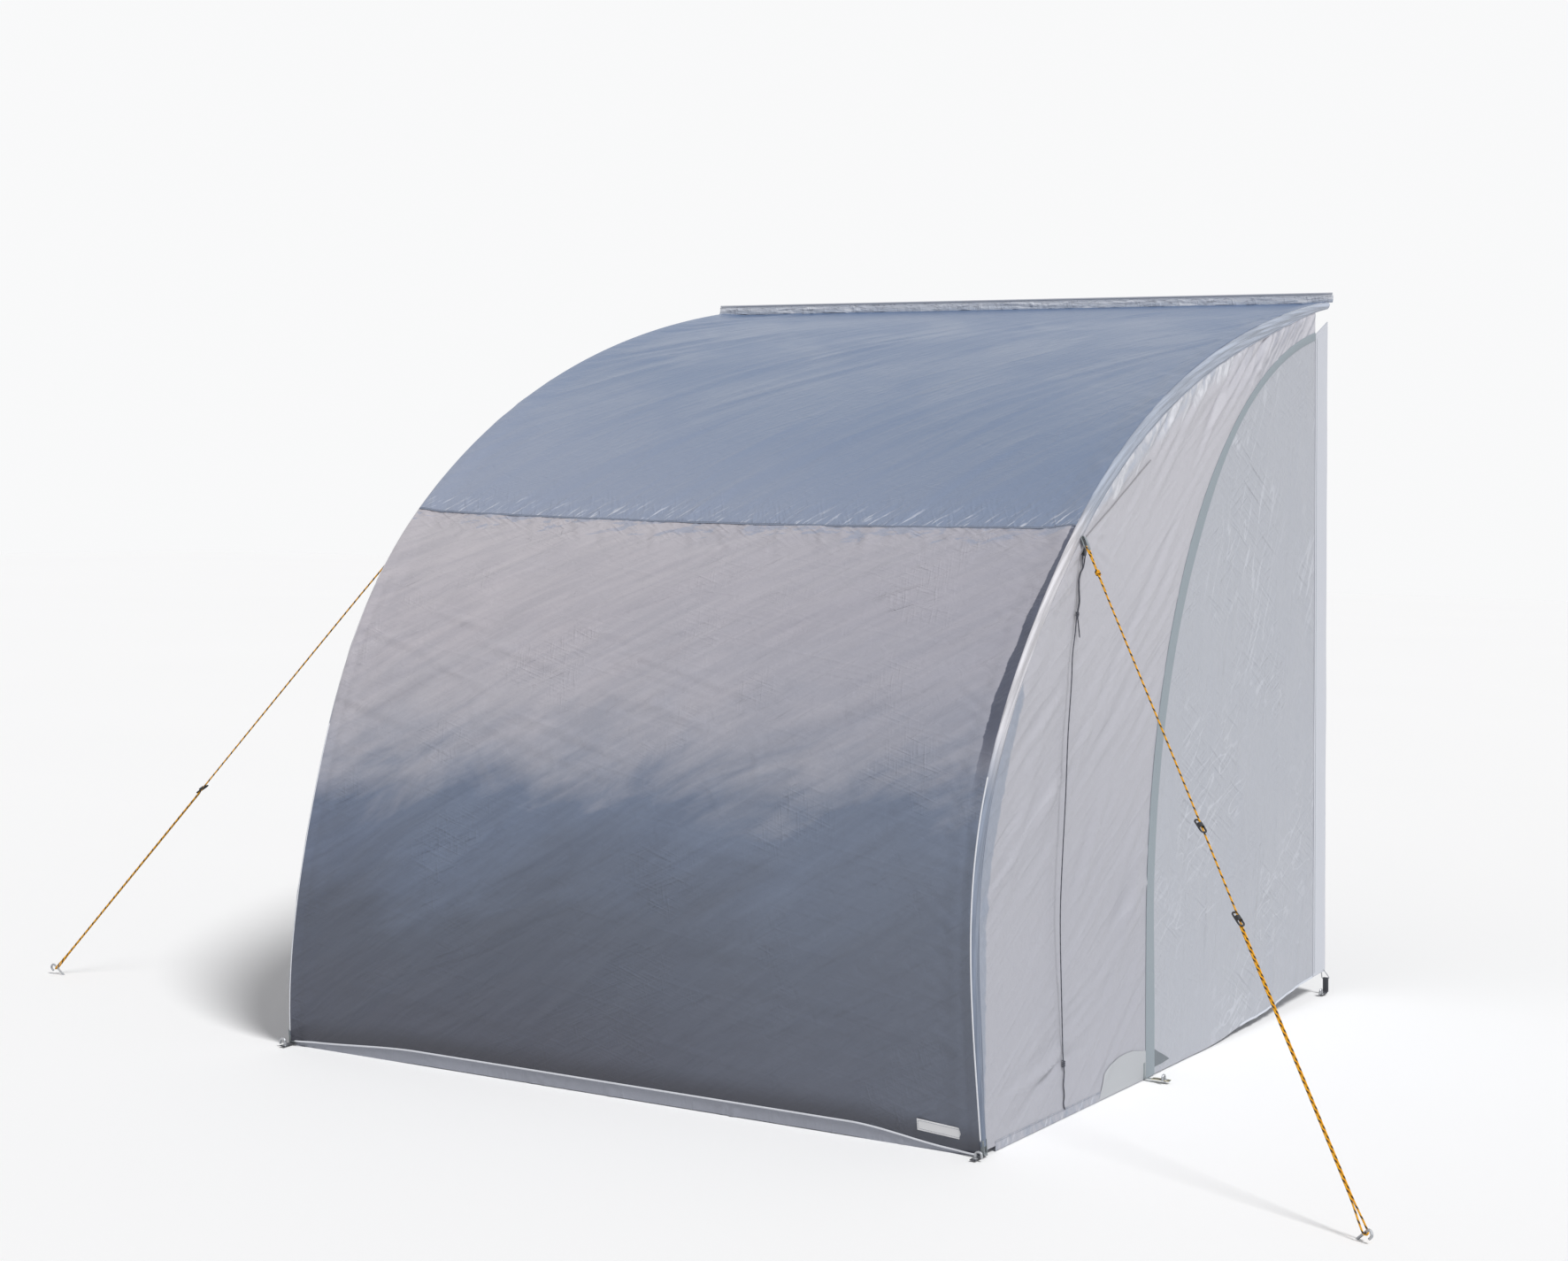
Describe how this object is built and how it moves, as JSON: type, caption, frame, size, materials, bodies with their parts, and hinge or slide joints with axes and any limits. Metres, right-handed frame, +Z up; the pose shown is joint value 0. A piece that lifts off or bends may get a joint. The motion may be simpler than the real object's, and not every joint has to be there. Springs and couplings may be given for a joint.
{
  "type": "bicycle storage tent",
  "caption": "Lean-to bicycle storage tent that hangs from an awning rail, held out by curved poles in sleeves, with zipped side doors, guy lines and ground pegs.",
  "frame": {"origin": "centre of the keder bead, at the middle of its length; the ground lies 1.986 m below it", "axes": "+Z up, +X along the awning rail to the tent's right seen from outside, +Y into the vehicle's wall; the tent stands out towards -Y"},
  "size_m": [3.8905, 2.2821, 2.1438],
  "materials": {
    "roof_cloth": "coated polyester, matt",
    "front_cloth": "coated polyester, shaded from pale to dark grey",
    "side_cloth": "coated polyester, matt",
    "sleeve_cloth": "coated polyester, matt",
    "strip_cloth": "coated polyester, double layer",
    "storm_cloth": "smooth grey-green tape",
    "band_pvc": "PVC-coated band",
    "flap_pvc": "PVC-coated mud flap",
    "grey_webbing": "woven webbing",
    "dark_webbing": "woven webbing",
    "zip_nylon": "nylon coil on woven tape",
    "zip_metal": "die-cast, satin",
    "fibreglass": "smooth dark tube",
    "steel": "galvanised",
    "runner_plastic": "moulded black plastic",
    "guy_rope": "braided orange cord with black flecks",
    "tension_rope": "braided dark cord"
  },
  "bodies": {
    "tent": {"keder_bead": "band_pvc", "keder_band": "band_pvc", "roof_panel": "roof_cloth", "front_panel": "front_cloth", "mud_flap": "flap_pvc", "pole_sleeve_right": "sleeve_cloth", "pole_sleeve_left": "sleeve_cloth", "side_panel_right": "side_cloth", "side_panel_left": "side_cloth", "wall_strip_right": "strip_cloth", "wall_strip_left": "strip_cloth", "zip_fixed_half_right": "zip_nylon", "zip_fixed_half_left": "zip_nylon", "pole_section_lower_right": "fibreglass", "pole_section_lower_left": "fibreglass", "pole_section_middle_right": "fibreglass", "pole_section_middle_left": "fibreglass", "pole_section_upper_right": "fibreglass", "pole_section_upper_left": "fibreglass", "pole_ferrule_lower_right": "steel", "pole_ferrule_lower_left": "steel", "pole_ferrule_middle_right": "steel", "pole_ferrule_middle_left": "steel", "guy_tab_right": "grey_webbing", "guy_tab_left": "grey_webbing", "guy_line_right": "guy_rope", "guy_line_left": "guy_rope", "cord_loop_right": "dark_webbing", "cord_loop_left": "dark_webbing", "tension_cord_right": "tension_rope", "tension_cord_left": "tension_rope", "foot_pocket_right": "dark_webbing", "foot_pocket_left": "dark_webbing", "door_strap_right": "grey_webbing", "door_strap_left": "grey_webbing", "corner_ring_right": "steel", "corner_ring_left": "steel", "corner_strap_right": "dark_webbing", "corner_strap_left": "dark_webbing"},
    "door_right": {"door_panel_right": "side_cloth", "zip_door_half_right": "zip_nylon", "storm_flap_right": "storm_cloth"},
    "door_left": {"door_panel_left": "side_cloth", "zip_door_half_left": "zip_nylon", "storm_flap_left": "storm_cloth"},
    "slider_right": {"zip_slider_right": "zip_metal"},
    "slider_left": {"zip_slider_left": "zip_metal"},
    "puller_right": {"zip_puller_right": "zip_metal"},
    "puller_left": {"zip_puller_left": "zip_metal"},
    "runner_right": {"guy_runner_right": "runner_plastic"},
    "runner_left": {"guy_runner_left": "runner_plastic"},
    "spare_runner": {"spare_runner_right": "runner_plastic"},
    "guy_peg_r": {"guy_peg_right": "steel"},
    "guy_peg_l": {"guy_peg_left": "steel"},
    "foot_peg_r": {"foot_peg_right": "steel"},
    "foot_peg_l": {"foot_peg_left": "steel"},
    "door_peg_r": {"door_peg_right": "steel"},
    "door_peg_l": {"door_peg_left": "steel"},
    "corner_peg_r": {"corner_peg_right": "steel"},
    "corner_peg_l": {"corner_peg_left": "steel"}
  },
  "joints": [
    {"name": "door_right_swing", "type": "hinge", "parent": "tent", "child": "door_right", "pos_m": [1.03991, -0.09992, -1.98598], "axis": [-0.0296, 0.0015, 0.9996], "range_deg": [0, 105]},
    {"name": "door_left_swing", "type": "hinge", "parent": "tent", "child": "door_left", "pos_m": [-1.03991, -0.09992, -1.98598], "axis": [-0.0296, -0.0015, -0.9996], "range_deg": [0, 105]},
    {"name": "zip_slide_right", "type": "slide", "parent": "tent", "child": "slider_right", "axis": [-0.0296, 0.0015, 0.9996], "range_m": [0, 0.29]},
    {"name": "zip_slide_left", "type": "slide", "parent": "tent", "child": "slider_left", "axis": [0.0296, 0.0015, 0.9996], "range_m": [0, 0.29]},
    {"name": "puller_swing_right", "type": "hinge", "parent": "slider_right", "child": "puller_right", "pos_m": [0.97629, -1.25319, -1.93217], "axis": [0.0489, 0.9988, 0], "range_deg": [0, 150]},
    {"name": "puller_swing_left", "type": "hinge", "parent": "slider_left", "child": "puller_left", "pos_m": [-0.97629, -1.25319, -1.93217], "axis": [0.0489, -0.9988, 0], "range_deg": [0, 150]},
    {"name": "runner_slide_right", "type": "slide", "parent": "tent", "child": "runner_right", "axis": [0.5169, -0.3745, -0.7698], "range_m": [-0.08, 0.35]},
    {"name": "runner_slide_left", "type": "slide", "parent": "tent", "child": "runner_left", "axis": [-0.6517, -0.1099, -0.7505], "range_m": [-0.08, 0.35]},
    {"name": "spare_runner_slide", "type": "slide", "parent": "tent", "child": "spare_runner", "axis": [0.5169, -0.3745, -0.7698], "range_m": [-0.15, 0.05]},
    {"name": "guy_peg_right_pull", "type": "slide", "parent": "tent", "child": "guy_peg_r", "axis": [0.6234, -0.4517, 0.6383], "range_m": [0, 0.15]},
    {"name": "guy_peg_left_pull", "type": "slide", "parent": "tent", "child": "guy_peg_l", "axis": [-0.7401, -0.1248, 0.6609], "range_m": [0, 0.15]},
    {"name": "foot_peg_right_pull", "type": "slide", "parent": "tent", "child": "foot_peg_r", "axis": [-0.0296, 0.0015, 0.9996], "range_m": [0, 0.15]},
    {"name": "foot_peg_left_pull", "type": "slide", "parent": "tent", "child": "foot_peg_l", "axis": [0.0296, 0.0015, 0.9996], "range_m": [0, 0.15]},
    {"name": "door_peg_right_pull", "type": "slide", "parent": "tent", "child": "door_peg_r", "axis": [0, 0, 1], "range_m": [0, 0.15]},
    {"name": "door_peg_left_pull", "type": "slide", "parent": "tent", "child": "door_peg_l", "axis": [0, 0, 1], "range_m": [0, 0.15]},
    {"name": "corner_peg_right_pull", "type": "slide", "parent": "tent", "child": "corner_peg_r", "axis": [0, 0, 1], "range_m": [0, 0.15]},
    {"name": "corner_peg_left_pull", "type": "slide", "parent": "tent", "child": "corner_peg_l", "axis": [0, 0, 1], "range_m": [0, 0.15]}
  ]
}
